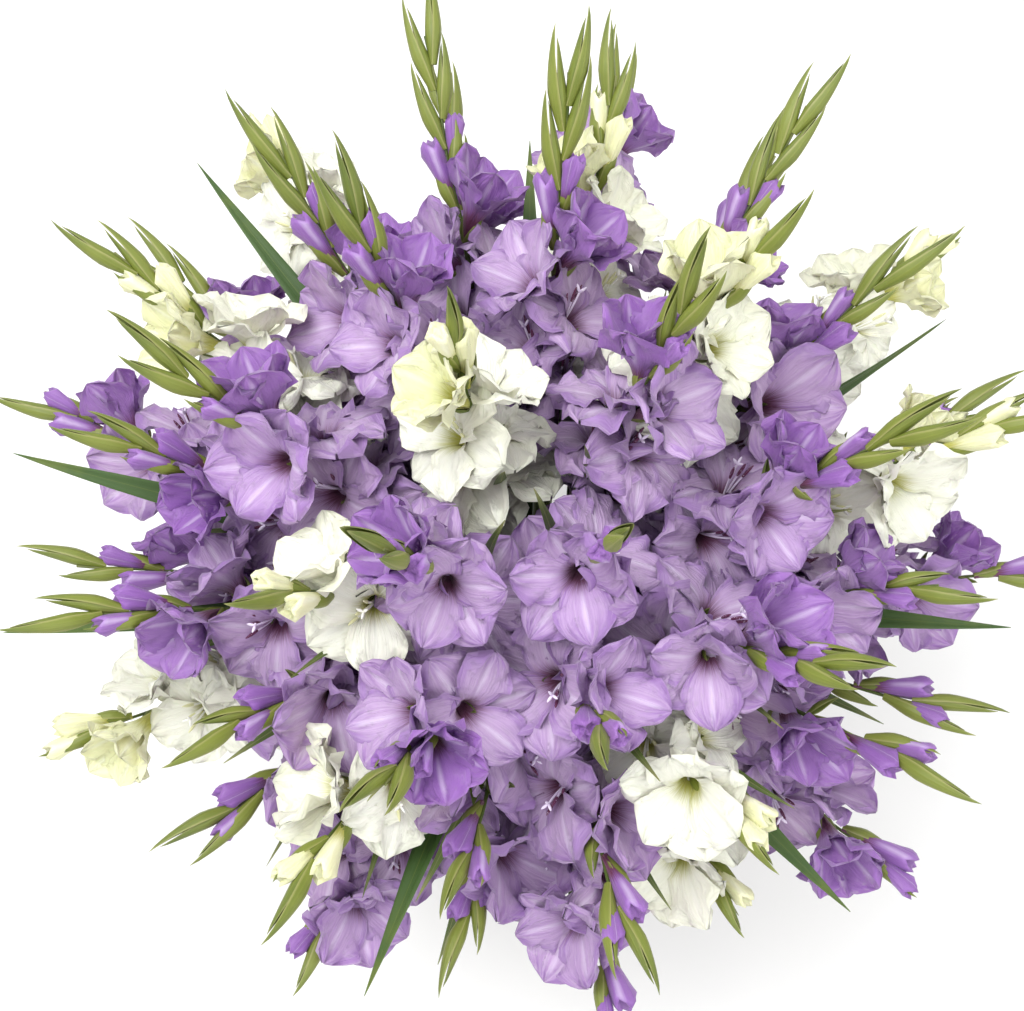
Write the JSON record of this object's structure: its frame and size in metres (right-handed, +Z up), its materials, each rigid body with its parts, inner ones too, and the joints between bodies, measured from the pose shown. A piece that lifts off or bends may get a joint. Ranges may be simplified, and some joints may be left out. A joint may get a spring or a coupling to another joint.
{
  "type": "cut gladioli",
  "caption": "Large round bunch of cut gladioli, lilac and creamy white spikes with sword leaves, spirally tied at the waist so that it stands on its splayed stem ends.",
  "frame": {"origin": "on the surface that the stem ends stand on, under the middle of the bunch's box", "axes": "+Z up along the tied stems, -Y the front of the bunch, where the knot is, +X to its right seen from the front"},
  "size_m": [0.9458, 0.9354, 0.8226],
  "materials": {
    "lilac_petals": "satin",
    "white_petals": "satin",
    "spike_green": "satin",
    "leaf_green": "satin",
    "twine": "matt"
  },
  "bodies": {
    "root": {"gladiolus_01": "lilac_petals", "gladiolus_02": "lilac_petals", "gladiolus_03": "white_petals", "gladiolus_04": "lilac_petals", "gladiolus_05": "lilac_petals", "gladiolus_06": "lilac_petals", "gladiolus_07": "white_petals", "gladiolus_08": "lilac_petals", "gladiolus_09": "lilac_petals", "gladiolus_10": "lilac_petals", "gladiolus_11": "white_petals", "gladiolus_12": "lilac_petals", "gladiolus_13": "lilac_petals", "gladiolus_14": "lilac_petals", "gladiolus_15": "lilac_petals", "gladiolus_16": "white_petals", "gladiolus_17": "lilac_petals", "gladiolus_18": "lilac_petals", "gladiolus_19": "white_petals", "gladiolus_20": "lilac_petals", "gladiolus_21": "lilac_petals", "gladiolus_22": "white_petals", "gladiolus_23": "lilac_petals", "gladiolus_24": "lilac_petals", "gladiolus_25": "white_petals", "gladiolus_26": "lilac_petals", "gladiolus_27": "lilac_petals", "gladiolus_28": "lilac_petals", "gladiolus_29": "white_petals", "gladiolus_30": "lilac_petals", "gladiolus_31": "lilac_petals", "gladiolus_32": "white_petals", "gladiolus_33": "lilac_petals", "gladiolus_34": "lilac_petals", "gladiolus_35": "lilac_petals", "gladiolus_36": "white_petals", "gladiolus_37": "lilac_petals", "gladiolus_38": "lilac_petals", "gladiolus_39": "lilac_petals", "gladiolus_40": "white_petals", "gladiolus_41": "lilac_petals", "gladiolus_42": "lilac_petals", "gladiolus_43": "lilac_petals", "gladiolus_44": "lilac_petals", "gladiolus_45": "white_petals", "gladiolus_46": "lilac_petals", "gladiolus_47": "lilac_petals", "leaf_01": "leaf_green", "leaf_02": "leaf_green", "leaf_03": "leaf_green", "leaf_04": "leaf_green", "leaf_05": "leaf_green", "leaf_06": "leaf_green", "leaf_07": "leaf_green", "leaf_08": "leaf_green", "twine_tie": "twine"}
  },
  "joints": []
}
